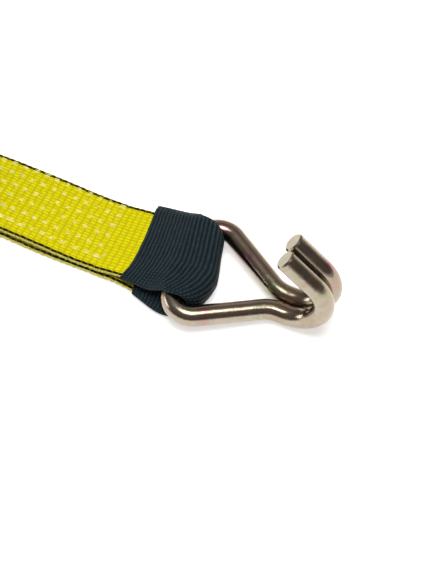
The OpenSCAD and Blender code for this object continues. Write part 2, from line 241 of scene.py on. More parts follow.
def plated(name, gold, rose, green, pale, tint_scale, roughness, pits):
    """Zinc plate with a passivate whose tint drifts from gold to rose and green, with brown stains."""
    s = Shader(name)
    at = s.coords()
    drift = s.noise(at, tint_scale, 2.0, 0.5, 1.2)
    patches = s.noise(s.scaled(at, (1.0, 1.7, 1.3)), tint_scale * 2.3, 3.0, 0.55, 0.6)
    tint = s.ramp(drift, [(0.30, rose), (0.44, gold), (0.56, pale), (0.72, green)])
    tint = s.mix(s.between(patches, 0.42, 0.68, 0.0, 0.55), tint, gold)
    grain = s.noise(at, 900, 4.0, 0.6)
    tint = s.mix(s.between(grain, 0.3, 0.75, 0.0, 0.16), tint, grey(0.16))
    stain = s.noise(at, 160, 4.0, 0.65)
    tint = s.mix(s.between(stain, 0.60, 0.80, 0.0, 0.45), tint, rgb(0.10, 0.075, 0.05))
    rough = s.math("ADD", s.between(patches, 0.3, 0.7, -0.05, 0.07), roughness)
    rough = s.math("ADD", rough, s.between(stain, 0.5, 0.8, 0.0, 0.16))
    soft = s.bump(s.noise(at, 260, 3.0, 0.6), 0.00012, 0.5)
    fine = s.bump(s.noise(at, 1300, 3.0, 0.7), 0.00005, pits, soft)
    return s.surface(tint, rough, fine, Metallic=1.0)


def bright(name, tone, roughness):
    """Bright plated steel with fine turning marks, warmer blotches and dull spots."""
    warm = rgb(*(c * share for c, share in zip(tone, (0.86, 0.80, 0.70))))
    s = Shader(name)
    at = s.coords()
    marks = s.noise(s.scaled(at, (1.0, 14.0, 1.0)), 300, 3.0, 0.6)
    blotch = s.noise(at, 90, 3.0, 0.6)
    colour = s.mix(s.between(blotch, 0.4, 0.7, 0.0, 0.8), tone, warm)
    dull = s.noise(at, 420, 4.0, 0.65)
    colour = s.mix(s.between(dull, 0.56, 0.8, 0.0, 0.5), colour, grey(0.18))
    rough = s.math("ADD", s.between(blotch, 0.3, 0.7, -0.04, 0.10), roughness)
    normal = s.bump(marks, 0.00004, 0.6)
    normal = s.bump(dull, 0.00006, 0.5, normal)
    return s.surface(colour, rough, normal, Metallic=1.0)


def moulding(name):
    """Black moulding with a fine grain and scuffs."""
    s = Shader(name)
    at = s.coords()
    cells = s.node("ShaderNodeTexVoronoi")
    s.feed(cells.inputs["Vector"], at)
    cells.inputs["Scale"].default_value = 1400
    scuff = s.noise(s.scaled(at, (3.0, 1.0, 3.0)), 130, 4.0, 0.65)
    broad = s.noise(at, 35, 2.0)
    colour = s.mix(s.between(broad, 0.35, 0.65), rgb(0.012, 0.012, 0.013), rgb(0.022, 0.022, 0.024))
    colour = s.mix(s.between(scuff, 0.62, 0.78, 0.0, 0.5), colour, grey(0.075))
    rough = s.math("ADD", s.between(scuff, 0.4, 0.7, -0.05, 0.12), 0.5)
    normal = s.bump(cells.outputs["Distance"], 0.00012, 0.6)
    normal = s.bump(scuff, 0.00008, 0.5, normal)
    return s.surface(colour, rough, normal, Specular_IOR_Level=0.45)


def webbing_cloth(name):
    """Yellow ribbed webbing with a broken black line inside each edge, and painted shade in the weave's
    grooves.
    """
    line_in, line_out, side_from, soft = 23.2, 24.9, 25.0, 0.3     # from the webbing's middle
    thin, full = rgb(0.62, 0.565, 0.001), rgb(0.85, 0.80, 0.002)
    painted_shade = rgb(0.50, 0.44, 0.0005)
    s = Shader(name)
    cloth, along, across = s.weave()
    strand = s.spread(cloth, 0.16, 1.4, 3.0, 0.6)
    fleck = s.spread(cloth, 0.45, 1.1, 2.0, 0.7)
    soil = s.spread(cloth, 0.035, 0.05, 3.0, 0.55)
    colour = s.mix(s.between(strand, 0.33, 0.68), thin, full)
    colour = s.mix(s.between(fleck, 0.58, 0.80, 0.0, 0.5), colour, rgb(0.97, 0.93, 0.04))
    colour = s.mix(s.between(soil, 0.5, 0.75, 0.0, 0.30), colour, rgb(0.72, 0.60, 0.003))
    turn = s.math("ADD", s.math("DIVIDE", along, RIB), s.sway(cloth, 0.1, 0.45, 1.0, 0.5))
    rib = s.wave(turn, 1.0)
    yarn = s.wave(across, END)
    # painted shade: darker in the rib valleys and in the grooves between the yarns
    colour = s.mix(s.between(rib, -1.0, -0.1, 0.72, 0.0), colour, painted_shade)
    colour = s.mix(s.between(yarn, -1.0, 0.1, 0.75, 0.0), colour, painted_shade)
    out = s.math("ABSOLUTE", across)
    speck = s.spread(cloth, 0.9, 1.6, 3.0, 0.7)
    side = s.ramp(speck, [
        (0.34, rgb(0.06, 0.055, 0.008)), (0.48, rgb(0.50, 0.46, 0.10)), (0.66, rgb(0.78, 0.73, 0.24)),
    ])
    colour = s.mix(s.between(out, side_from, side_from + 0.4), colour, side)
    line = s.math("ADD", out, s.sway(cloth, 0.35, 0.02, 2.0, 0.9))
    starts = s.between(line, line_in, line_in + soft)
    ends = s.between(line, line_out, line_out + soft, 1.0, 0.0)
    tracer = s.math("MULTIPLY", s.math("MULTIPLY", starts, ends), s.between(rib, -1.0, -0.35, 0.80, 1.0))
    colour = s.mix(tracer, colour, rgb(0.006, 0.006, 0.002))
    rough = s.between(strand, 0.3, 0.7, 0.62, 0.44)
    normal = s.bump(s.spread(cloth, 0.5, 6.0, 4.0, 0.7), 0.00010, 0.55)
    return s.surface(colour, rough, normal, Specular_IOR_Level=0.10, Sheen_Weight=0.01, Sheen_Roughness=0.4)


def sleeve_cloth(name):
    """Blue-black cloth, finely ribbed, with painted highlights on the ribs' crests and painted shade in their
    valleys.
    """
    s = Shader(name)
    cloth, along, across = s.weave()
    strand = s.spread(cloth, 0.9, 0.25, 3.0, 0.6)
    broad = s.spread(cloth, 0.05, 0.06, 3.0, 0.55)
    colour = s.mix(s.between(strand, 0.34, 0.7), rgb(0.003, 0.010, 0.015), rgb(0.010, 0.022, 0.030))
    colour = s.mix(s.between(broad, 0.42, 0.72, 0.0, 0.5), colour, rgb(0.012, 0.025, 0.030))
    rib = s.wave(along, SLEEVE_RIB)
    yarn = s.wave(across, SLEEVE_END)
    # painted highlight: lighter on the ribs' crests
    crest = s.math("MULTIPLY", s.between(rib, -0.2, 1.0), s.between(yarn, -0.7, 0.7, 0.10, 1.0))
    colour = s.mix(s.math("MULTIPLY", crest, 0.85), colour, rgb(0.034, 0.062, 0.080))
    # painted shade: darker in the ribs' valleys
    colour = s.mix(s.between(rib, -1.0, -0.2, 0.85, 0.0), colour, rgb(0.003, 0.006, 0.008))
    rough = s.between(strand, 0.3, 0.7, 0.70, 0.52)
    normal = s.bump(s.math("MULTIPLY", yarn, s.between(rib, -0.6, 0.8)), 0.00022, 0.8)
    normal = s.bump(s.spread(cloth, 5.0, 1.2, 4.0, 0.7), 0.00008, 0.5, normal)
    return s.surface(colour, rough, normal, Specular_IOR_Level=0.14, Sheen_Weight=0.02, Sheen_Roughness=0.45)


def sewing_thread(name):
    """Cream thread with its twist and painted shade in the twist's grooves; the bartacks are pinker."""
    s = Shader(name)
    at = s.coords()
    worn = s.noise(at, 600, 3.0, 0.6)
    ply = s.noise(s.scaled(at, (1.0, 2.5, 2.5)), 2600, 2.0, 0.6)
    colour = s.mix(s.between(worn, 0.35, 0.68), rgb(0.95, 0.90, 0.20), rgb(0.98, 0.95, 0.46))
    colour = s.mix(s.math("MULTIPLY", s.attribute("bartack"), 0.85), colour, rgb(0.78, 0.60, 0.42))
    # painted shade: darker in the twist's grooves, where the ply noise is low
    colour = s.mix(s.between(ply, 0.35, 0.65, 0.2, 0.0), colour, rgb(0.62, 0.57, 0.14))
    normal = s.bump(ply, 0.00006, 0.8)
    return s.surface(colour, 0.55, normal, Specular_IOR_Level=0.3, Sheen_Weight=0.05)


GOLD = dict(
    gold=rgb(0.54, 0.46, 0.32), rose=rgb(0.56, 0.37, 0.36),
    green=rgb(0.46, 0.48, 0.29), pale=rgb(0.60, 0.53, 0.43),
)
BROWN = dict(
    gold=rgb(0.38, 0.315, 0.225), rose=rgb(0.42, 0.235, 0.25),
    green=rgb(0.30, 0.345, 0.18), pale=rgb(0.42, 0.365, 0.295),
)
MATERIALS = {
    "zinc_plate": plated("zinc_plate_parts", tint_scale=38, roughness=0.30, pits=0.35, **GOLD),
    "bright_steel": bright("bright_steel_parts", rgb(0.62, 0.61, 0.58), 0.26),
    "spring_steel": bright("spring_steel_parts", rgb(0.50, 0.49, 0.47), 0.22),
    "black_moulding": moulding("black_moulding_parts"),
}
HOOK_PLATE = plated("zinc_plate_hook", tint_scale=42, roughness=0.14, pits=1.0, **BROWN)

# ---------------------------------------------------------------- curves through points


def smooth(values, passes):
    """Averages neighbours, keeping the ends."""
    v = np.array(values, float)
    for _ in range(passes):
        v[1:-1] = 0.25 * v[:-2] + 0.5 * v[1:-1] + 0.25 * v[2:]
    return v


def knots(x, table):
    """Smooth curve through the table's points, with its corners rounded."""
    table = np.array(table, float)
    fine = np.linspace(table[0, 0], table[-1, 0], 241)
    return np.interp(x, fine, smooth(np.interp(fine, table[:, 0], table[:, 1]), 60))


def ease(t):
    """From 0 to 1, slow at both ends."""
    return t * t * (3 - 2 * t)


def sampled(at, along, line):
    """A line's columns at new distances, from their values at the distances along it."""
    return np.stack([np.interp(at, along, column) for column in line.T], axis=1)


def rounded(points, count, passes):
    """Fine points along a line whose first two columns are x and z, with its corners smoothed.

    Gives the points, how far along each is, and the whole length.
    """
    along = np.concatenate([[0], np.cumsum(np.hypot(*np.diff(points[:, :2], axis=0).T))])
    fine = np.linspace(0, along[-1], count)
    line = sampled(fine, along, points)
    for k in range(2):
        line[:, k] = smooth(line[:, k], passes)
    return line, fine, along[-1]


# ---------------------------------------------------------------- the fold round the hook's bar

# A point's stage says where it is on the fold: 0 at the lower layer's sewn end, 1 at the sleeve's lower
# mouth, 2 to 3 round the bend, 4 where the upper layer leaves the bar, 5 at the sleeve's upper mouth and 6
# at the upper layer's sewn end. These give, by stage, the strap's middle and half the widths.
MIDDLE = [(0, -2.5), (0.7, -2.6), (1.0, -3.0), (1.35, -5.2), (1.75, -8.6), (2.0, -8.8), (2.25, -6.6),
          (2.5, -5.1), (2.75, -4.2), (3.0, -3.6), (3.6, -3.2), (4.2, -2.2), (5.0, -0.9), (6, -0.8)]
SLEEVE_HALF = [(0, 28.5), (2.0, 28.5), (2.25, 26.9), (2.5, 25.4), (2.75, 27.0), (3.0, 28.6), (6, 28.5)]
WEB_HALF = [(0, 25), (2.0, 25), (2.5, 24.0), (3.0, 25), (6, 25)]
# how far past the bar the bend's middle stands, from the fold's near edge to its far one
SLACK = [(-31, 3.0), (-28.7, 6.6), (-27, 7.8), (-24, 9.2), (-18, 11.0), (-11, 11.9),
         (-5, 10.4), (5, 7.3), (13, 5.2), (20.5, 3.2)]
FOLD_MIDDLE = -5.1                   # of the bend, across
WEB_REACH, SLEEVE_REACH = 24.2, 25.4     # from there to the edges of the webbing and of the sleeve
BEND_STEPS, BAR_STEPS = 24, 8
UPPER_FROM = 2.9                     # the stage from which cloth counts as the upper layer


def fold_line(y_fold, count):
    """One lengthwise line of the strap's middle round the bar, and its length.

    Its columns are x from the bar, z and the stage.
    """
    e = float(knots(y_fold, SLACK))
    rise = MOUTH_HIGH_Z - BAR_Z
    mouth_angle = math.atan2(rise, -SLEEVE_LEN) % (2 * math.pi)
    touch = mouth_angle - math.acos(LOOP_R / math.hypot(SLEEVE_LEN, rise))
    points = [(SEW_END, LOW, 0.0), (-SLEEVE_LEN, SHEATH, 1.0), (e, SHEATH, 2.0)]
    for i in range(1, BEND_STEPS):
        a = math.radians(-90 + 180 * i / BEND_STEPS)
        points.append((e + LOOP_R * math.cos(a), BAR_Z + LOOP_R * math.sin(a), 2 + i / BEND_STEPS))
    points.append((e, BAR_Z + LOOP_R, 3.0))
    for i in range(BAR_STEPS + 1):
        a = math.pi / 2 + (touch - math.pi / 2) * i / BAR_STEPS
        points.append((LOOP_R * math.cos(a), BAR_Z + LOOP_R * math.sin(a), 3.2 + 0.8 * i / BAR_STEPS))
    points += [(-SLEEVE_LEN, MOUTH_HIGH_Z, 5.0), (SEW_END, HIGH, 6.0)]
    line, fine, length = rounded(np.array(points), 700, 90)
    return sampled(np.linspace(0, length, count), fine, line), length


def hang(out, start, over, x, deepest, width, depth):
    """How far one edge hangs: it starts so far out from the middle, and is deepest at one x from the bar."""
    return np.clip((out - start) / over, 0, 1) ** 1.6 * np.exp(-((x - deepest) / width) ** 2) * depth


def droop(stage, x, y):
    """How far the upper layer's edges hang beside the bar: x is from the bar, y from the layer's middle."""
    near = hang(-y, 19.5, 9.0, x, deepest=-13, width=9.5, depth=4.6)
    far = hang(y, 22.5, 6.0, x, deepest=-12, width=10, depth=1.4)
    return np.where(stage > UPPER_FROM, near + far, 0)


# ---------------------------------------------------------------- bands of cloth

EDGE_POINTS = 3          # round each long edge of a band


def normals_of(grid, closed):
    """Unit normals of a grid of points, by its neighbours."""
    if closed:
        along = np.roll(grid, -1, 0) - np.roll(grid, 1, 0)
    else:
        along = np.gradient(grid, axis=0)
    n = np.cross(np.gradient(grid, axis=1), along)
    return n / np.linalg.norm(n, axis=2, keepdims=True)


def wrap_section(mid, normal, half_thick, bulge):
    """Rings round a flat band: top side, far edge, under side, near edge."""
    top = mid + normal * half_thick[..., None]
    bottom = mid - normal * half_thick[..., None]
    turns = [math.pi * (k + 1) / (EDGE_POINTS + 1) for k in range(EDGE_POINTS)]
    sides = []
    for j, inner, angles in ((-1, -2, turns), (0, 1, turns[::-1])):
        out = mid[:, j] - mid[:, inner]
        out /= np.linalg.norm(out, axis=1, keepdims=True)
        sides.append(np.stack([
            mid[:, j] + out * bulge * math.sin(a) + normal[:, j] * (half_thick[:, j] * math.cos(a))[:, None]
            for a in angles
        ], axis=1))
    return np.concatenate([top, sides[0], bottom[:, ::-1], sides[1]], axis=1)


def across_values(half, columns, edge):
    """V of each point of a ring, growing past the half width on the edges, and the first again."""
    w = np.linspace(-1, 1, columns) * half
    rise = edge * np.sin(np.pi * (np.arange(EDGE_POINTS) + 1) / (EDGE_POINTS + 1))
    return np.concatenate([w, half + rise, w[::-1], -half - rise, w[:1]])


def add_object(name, mesh, material):
    mesh.materials.append(material)
    obj = bpy.data.objects.new(name, mesh)
    scene.collection.objects.link(obj)
    return obj


def grid_object(name, grid, u, v, material):
    """A closed mesh from rings of points, each ring joined to the next and the last to the first.

    u has a value for each ring and v for each point of a ring, and both have one more for the first again.
    """
    rings, n = grid.shape[:2]
    i, j = np.arange(rings)[:, None], np.arange(n)[None, :]
    i_next, j_next = (i + 1) % rings, (j + 1) % n
    corners = ((i, j), (i, j_next), (i_next, j_next), (i_next, j))
    faces = np.stack([(a * n + b).ravel() for a, b in corners], axis=1)
    mesh = bpy.data.meshes.new(name)
    mesh.vertices.add(rings * n)
    mesh.vertices.foreach_set("co", (grid.reshape(-1, 3) * MM).astype(np.float32).ravel())
    mesh.loops.add(len(faces) * 4)
    mesh.loops.foreach_set("vertex_index", faces.ravel())
    mesh.polygons.add(len(faces))
    mesh.polygons.foreach_set("loop_start", np.arange(len(faces)) * 4)
    mesh.polygons.foreach_set("use_smooth", np.ones(len(faces), bool))
    mesh.update(calc_edges=True)
    uv_corners = ((i, j), (i, j + 1), (i + 1, j + 1), (i + 1, j))
    uv = np.stack([np.stack([u[a] + 0 * v[b], v[b] + 0 * u[a]], -1) for a, b in uv_corners], axis=2)
    layer = mesh.uv_layers.new(name="weave")
    layer.data.foreach_set("uv", uv.astype(np.float32).ravel())
    mesh.validate()
    return add_object(name, mesh, material)


# ---------------------------------------------------------------- webbing

COLUMNS = 71
FOLD_RINGS = 120
STEP = RIB / 4.5                     # between rings along the strap, past the fold
w_line = np.linspace(-1, 1, COLUMNS)     # a column's place across, from the near edge to the far one
# the middles of the two sewn layers, by the distance from the bar
UPPER_MIDDLE = [(-262, 0), (-215, 1.4), (-165, 3.1), (-130, 2.9), (-95, 1.1), (-70, -0.7), (-40, -0.8)]
LOWER_MIDDLE = [(-262, 0), (-215, 0.6), (-160, 1.0), (-112, -0.1), (-92, -1.5), (-75, -2.1), (-40, -2.3)]


def webbing_fold():
    """The webbing's middle round the hook's bar, as rings of points, and its mean length."""
    grid = np.zeros((FOLD_RINGS, COLUMNS, 3))
    mean_length = 0
    for j, w in enumerate(w_line):
        line, length = fold_line(FOLD_MIDDLE + WEB_REACH * w, FOLD_RINGS)
        x, z, stage = line.T
        offset = w * knots(stage, WEB_HALF)
        grid[:, j, 0] = x
        grid[:, j, 1] = knots(stage, MIDDLE) + offset
        grid[:, j, 2] = z - droop(stage, x, offset)
        mean_length += length / COLUMNS
    return grid, mean_length


def tube_line():
    """The webbing's middle round the spacer tube, from the upper layer's sewn end to the lower's."""
    r = TUBE_R + 2 * AIR + WEB_T / 2
    cx, cz = BOLT_X - BAR_X, BOLT_Z
    lands = cx + 26                  # where the lower layer reaches the table
    turn_steps = 40

    def touch(px, pz, side):
        return math.atan2(pz - cz, px - cx) + side * math.acos(r / math.hypot(px - cx, pz - cz))

    a = touch(SEW_START, HIGH, 1)
    b = touch(lands, LOW, -1) + 2 * math.pi
    angles = [a + (b - a) * i / turn_steps for i in range(turn_steps + 1)]
    points = [(SEW_START, HIGH)]
    points += [(cx + r * math.cos(angle), cz + r * math.sin(angle)) for angle in angles]
    points += [(lands, LOW), (SEW_START, LOW)]
    line, fine, length = rounded(np.array(points), 900, 60)
    return sampled(np.arange(0, length, STEP), fine, line)


def band(x, z, middle):
    """Rows of points straight across the strap."""
    out = np.zeros((len(x), COLUMNS, 3))
    out[..., 0] = x[:, None]
    out[..., 1] = middle[:, None] + w_line * WEB_W / 2
    out[..., 2] = z[:, None]
    return out


def webbing_middle():
    """The whole webbing's middle as a closed ring of rows, with x from the bar, and the rows' distances."""
    fold, fold_length = webbing_fold()
    straight = np.arange(SEW_END - STEP, SEW_START, -STEP)
    lift = 0.125 * (1 + np.sin(straight / 17.0))     # slow waves of the upper layer
    upper = band(straight, HIGH + lift, knots(straight, UPPER_MIDDLE))
    lower = band(straight[::-1], np.full(len(straight), LOW), knots(straight[::-1], LOWER_MIDDLE))
    tube_xz = tube_line()
    share = ease(np.linspace(0, 1, len(tube_xz)))
    start_y, end_y = knots(SEW_START, UPPER_MIDDLE), knots(SEW_START, LOWER_MIDDLE)
    tube = band(tube_xz[:, 0], tube_xz[:, 1], start_y + (end_y - start_y) * share)
    # the waves' height at each end of the sewn length runs out over the fold and over the tube's turn
    half, run_out = FOLD_RINGS // 2, 40
    fold[half:, :, 2] += np.clip((fold[half:, :, 0] - (SEW_END + 14)) / -14, 0, 1) * lift[0]
    tube[:run_out, :, 2] += np.linspace(1, 0, run_out)[:, None] * lift[-1]
    rest = fold_length + STEP * (1 + np.arange(len(upper) + len(tube) + len(lower) + 1))
    along = np.concatenate([np.linspace(0, fold_length, FOLD_RINGS), rest])
    return np.concatenate([fold, upper, tube, lower]), along


def webbing_crests(along, from_bar):
    """The weave's floats, from 0 in its valleys to 1 on its crests, flat where the sleeve covers it."""
    y = w_line * WEB_W / 2
    column = np.round(y / END).astype(int)
    stagger = 0.11 * np.sin(column * 2.4) + 0.05 * np.where(column % 2 == 0, 1, -1)
    float_along = (0.5 + 0.5 * np.cos(2 * math.pi * (along[:, None] / RIB + stagger))) ** 0.5
    float_across = (0.5 + 0.5 * np.cos(2 * math.pi * y / END)) ** 0.7
    crest = 0.35 * float_along + 0.65 * float_along * float_across
    crest[:FOLD_RINGS] *= np.clip((-36 - from_bar[:FOLD_RINGS]) / 6, 0, 1)
    return crest


def make_webbing():
    """The webbing's object and its length."""
    mid, along = webbing_middle()
    crest = webbing_crests(along[:-1], mid[..., 0])
    mid[..., 0] += BAR_X
    thick = WEB_T / 2 - 0.02 - 0.36 * (1 - crest)
    thick *= 1 - 0.10 * np.abs(w_line) ** 16
    rings = wrap_section(mid, normals_of(mid, closed=True), thick, 0.75)
    scallop = 0.16 * np.cos(2 * math.pi * along[:-1] / RIB + 0.6)[:, None]
    rings[:, COLUMNS:COLUMNS + EDGE_POINTS, 1] += scallop
    rings[:, 2 * COLUMNS + EDGE_POINTS:, 1] -= scallop
    values = across_values(WEB_W / 2, COLUMNS, 2.0)
    cloth = webbing_cloth("yellow_webbing_cloth")
    return grid_object("webbing_yellow", rings, along, values, cloth), float(along[-1])


webbing, web_length = make_webbing()

# ---------------------------------------------------------------- sleeve

TUBE_COLUMNS, SLEEVE_RINGS = 44, 352
FINE = 1400
w_tube = np.linspace(-1, 1, TUBE_COLUMNS)
# how far each mouth is cut back toward the bar, from the near edge to the far one
MOUTH_LOW = [(-1, 9.5), (-0.7, 8.0), (-0.2, 5.0), (0.4, 2.5), (1, 1.0)]
MOUTH_HIGH = [(-1, 0), (-0.86, 2.0), (-0.62, 4.3), (-0.3, 4.2), (0.1, 3.2), (0.5, 1.9), (1, 0)]
# how far the sleeve's middle lies from the webbing's, by stage
SHIFT = [(1.0, 3.4), (1.4, 1.2), (1.8, -0.6), (2.2, 0), (3.8, 0.0), (4.6, 1.0), (5.0, 1.9)]


def ripple(a, b, seed):
    """Slow, smooth unevenness over a grid."""
    r = np.random.default_rng(seed)
    waves = 5
    total = 0
    for _ in range(waves):
        f = r.uniform(0.3, 1.4, 2)
        total = total + np.sin(a * f[0] + b * f[1] + r.uniform(0, 6.3)) / waves
    return total


def sleeve_middle():
    """The middle of the flattened tube round the bar, as rings of points, and its mean length."""
    mid = np.zeros((SLEEVE_RINGS, TUBE_COLUMNS, 3))
    stages = np.zeros((SLEEVE_RINGS, TUBE_COLUMNS))
    mean_length = 0
    shares = np.linspace(0, 1, FINE)
    half = FINE // 2
    for j, w in enumerate(w_tube):
        line, length = fold_line(FOLD_MIDDLE + SLEEVE_REACH * w, FINE)
        from_mouth = np.abs(line[:, 0] + SLEEVE_LEN)
        low, high = np.argmin(from_mouth[:half]), half + np.argmin(from_mouth[half:])
        wave = 0.35 * math.sin(5.1 * w + 0.7) + 0.18 * math.sin(13 * w)
        cut_low = (0.5 * wave + float(knots(w, MOUTH_LOW))) / length
        cut_high = (0.5 * wave + float(knots(w, MOUTH_HIGH))) / length
        at = np.linspace(shares[low] + cut_low, shares[high] - cut_high, SLEEVE_RINGS)
        x, z, stage = sampled(at, shares, line).T
        stages[:, j] = stage
        mid[:, j, 0] = x
        mid[:, j, 1] = knots(stage, MIDDLE) + knots(stage, SHIFT) + w * knots(stage, SLEEVE_HALF)
        mid[:, j, 2] = z
        mean_length += (at[-1] - at[0]) * length / TUBE_COLUMNS
    x = mid[..., 0]
    mid[..., 2] -= droop(stages, x, w_tube * knots(stages, SLEEVE_HALF))
    uneven = ripple(x / 9, mid[..., 1] / 9, 11)
    mid[..., 2] += np.where(stages > UPPER_FROM, 0.22, 0.0) * uneven * np.clip((x + SLEEVE_LEN) / 8, 0, 1)
    mid[..., 0] += BAR_X
    return mid, mean_length


def make_sleeve():
    """The sleeve's object, a tube with an inside and hems, and its length."""
    mid, length = sleeve_middle()
    normal = normals_of(mid, closed=False)
    # toward the two long edges the tube's upper and lower side come together
    pinch = ease(np.clip((np.abs(w_tube[None, :]) - 0.87) / 0.13, 0, 1))
    along = np.linspace(0, length, SLEEVE_RINGS)
    rib = 0.5 + 0.5 * np.cos(2 * math.pi * along / SLEEVE_RIB)[:, None]
    inside, edge_outside, edge_inside, rib_depth = SHEATH - CLOTH_T, 1.05, 0.25, 0.10
    outer_half = SHEATH + (edge_outside - SHEATH) * pinch - rib_depth * (1 - rib)
    inner_half = np.maximum(inside + (edge_inside - inside) * pinch, 0.2)
    outer = wrap_section(mid, normal, outer_half, 0.7)
    inner = wrap_section(mid, normal, np.repeat(inner_half, SLEEVE_RINGS, axis=0), 0.15)
    # each hem's edge is one ring between the outside and the inside, a little further out
    hem_high, hem_low = 0.5 * (outer[-1:] + inner[-1:]), 0.5 * (outer[:1] + inner[:1])
    hem_high[..., 0] -= 0.3
    hem_low[..., 0] -= 0.3
    rings = np.concatenate([outer, hem_high, inner[::-1], hem_low])
    u = np.concatenate([along, [length + 0.4], along[::-1], [-0.4], [0.0]])
    values = across_values(SLEEVE_W / 2, TUBE_COLUMNS, 1.4)
    return grid_object("sleeve_black", rings, u, values, sleeve_cloth("black_sleeve_cloth")), length


sleeve, sleeve_len = make_sleeve()

# ---------------------------------------------------------------- stitches

rng = np.random.default_rng(7)
ROWS = (22.9, 15.8, 7.9, 0.0, -8.6, -16.7)   # across, from the strap's middle
PITCH = 7.55                                 # between stitches along a row
LAST = -56.2                                 # where the last stitches start, from the bar
LANES = (-0.8, 0.0, 0.8)                     # each stitch is three threads side by side
TACKS = ((-14.6, -49.6), (20.6, SEW_START + 7), (-14.6, SEW_START + 7))     # across, and where they start
TACK_THREADS, TACK_STEP, TACK_HALF = 12, 0.42, 1.15
THREAD_R, TACK_R = 0.25, 0.22
threads = []                                 # (rings of points, 1 for a bartack and 0 for a row)


def thread_points(centre, radius, sides=6):
    """Rings of a thread along a line of points, a little wider than high."""
    along = np.gradient(centre, axis=0)
    along /= np.linalg.norm(along, axis=1, keepdims=True)
    side = np.cross(along, (0.0, 0.0, 1.0))
    side /= np.linalg.norm(side, axis=1, keepdims=True)
    lift = np.cross(side, along)
    a = (np.arange(sides) * 2 * math.pi / sides)[:, None]
    return centre[:, None] + radius * (np.cos(a) * side[:, None] * 1.25 + np.sin(a) * lift[:, None])


def stitch(start, end, face, height, radius, bartack):
    """One thread that comes up out of the cloth and dives back in; face is 1 for the strap's top."""
    sunk = 0.55              # how far the ends dive
    t = np.linspace(0, 1, 7)
    rise = np.clip(np.sin(math.pi * t), 0, 1) ** 0.45 * (height + sunk) - sunk
    z = 2 * WEB_T + 0.02 + rise if face == 1 else 0.34 - rise * 0.08
    x = start[0] + (end[0] - start[0]) * t + BAR_X
    y = start[1] + (end[1] - start[1]) * t
    threads.append((thread_points(np.stack([x, y, z], axis=1), radius), bartack))


def sew_row(face, middle, row):
    """A row of lock stitches; the row nearest the camera has longer ones."""
    shortest, longest = (5.2, 6.6) if row == len(ROWS) - 1 else (3.4, 4.4)
    for place in np.arange(LAST + (0.8 if row % 2 else 0.0), SEW_START + 9, -PITCH):
        x0 = place + rng.uniform(-0.4, 0.4)
        length = rng.uniform(shortest, longest)
        sunk = rng.uniform(-0.26, 0.14)
        drift = rng.uniform(-0.3, 0.3)
        for lane in LANES:
            x = x0 + rng.uniform(-0.5, 0.5)
            y = float(knots(x, middle)) + ROWS[row] + lane * rng.uniform(0.85, 1.1) + drift
            lean = rng.uniform(-0.25, 0.25)
            height = sunk + (-0.12 if lane == 0 else 0.04) + rng.uniform(-0.05, 0.05)
            end = (x + length * rng.uniform(0.85, 1.05), y + lean)
            stitch((x, y), end, face, height, THREAD_R, 0.0)


def sew_tack(face, middle, across, start):
    """A bartack: short threads across the strap, close together."""
    for k in range(TACK_THREADS):
        x = start + k * TACK_STEP
        y = float(knots(x, middle)) + across + rng.uniform(-0.15, 0.15)
        height = rng.uniform(0.0, 0.12)
        stitch((x, y - TACK_HALF), (x + 0.2, y + TACK_HALF), face, height, TACK_R, 1.0)


for face, middle in ((1, UPPER_MIDDLE), (-1, LOWER_MIDDLE)):
    for row in range(len(ROWS)):
        sew_row(face, middle, row)
    for across, start in TACKS:
        sew_tack(face, middle, across, start)


def thread_object(name, parts, material):
    """One mesh of many threads, each with its own bartack value."""
    points, faces, tints, base = [], [], [], 0
    for rings, tint in parts:
        n, sides = rings.shape[:2]
        points.append(rings.reshape(-1, 3))
        for i in range(n - 1):
            low, high = base + i * sides, base + (i + 1) * sides
            for j in range(sides):
                k = (j + 1) % sides
                faces.append((low + j, low + k, high + k, high + j))
        faces.append(tuple(base + j for j in range(sides))[::-1])
        faces.append(tuple(base + (n - 1) * sides + j for j in range(sides)))
        tints += [tint] * (n * sides)
        base += n * sides
    mesh = bpy.data.meshes.new(name)
    mesh.from_pydata((np.concatenate(points) * MM).tolist(), [], faces)
    mesh.polygons.foreach_set("use_smooth", np.ones(len(mesh.polygons), bool))
    mesh.attributes.new("bartack", "FLOAT", "POINT").data.foreach_set("value", np.array(tints, np.float32))
    return add_object(name, mesh, material)


stitches = thread_object("stitching_cream", threads, sewing_thread("cream_thread"))

# ---------------------------------------------------------------- springs, as round wire

SPRING_WIRE = 1.2
WIRE_SIDES, POINTS_A_TURN = 10, 28


def coil(name, node, turns):
    """A compression spring of round wire in a CAD spring's place, along X, with closed end turns."""
    lo, hi = box_mm(node)
    cy, cz = (lo[1] + hi[1]) / 2, (lo[2] + hi[2]) / 2
    r = (hi[2] - lo[2]) / 2 - SPRING_WIRE / 2
    span = hi[0] - lo[0] - SPRING_WIRE
    t = np.linspace(0, 1, turns * POINTS_A_TURN)
    closed = 1.1 * SPRING_WIRE / span
    rise = np.interp(t, [0, 0.10, 0.90, 1], [0, closed, 1 - closed, 1])
    a = 2 * math.pi * turns * t
    line = np.stack([lo[0] + SPRING_WIRE / 2 + span * rise, cy + r * np.cos(a), cz + r * np.sin(a)], axis=1)
    along = np.gradient(line, axis=0)
    along /= np.linalg.norm(along, axis=1, keepdims=True)
    outward = np.stack([0 * a, np.cos(a), np.sin(a)], axis=1)
    side = np.cross(along, outward)
    k = (np.arange(WIRE_SIDES) * 2 * math.pi / WIRE_SIDES)[:, None]
    rings = line[:, None] + SPRING_WIRE / 2 * (np.cos(k) * outward[:, None] + np.sin(k) * side[:, None])
    obj = thread_object(name, [(rings, 0.0)], MATERIALS["spring_steel"])
    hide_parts(node)
    return obj


drive_spring = coil("drive_pawl_spring_coil", "drive_pawl_spring", turns=9)
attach(drive_spring, "handle")
lock_spring = coil("lock_pawl_spring_coil", "lock_pawl_spring", turns=7)
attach(lock_spring, "frame")

# ---------------------------------------------------------------- CAD pieces that show

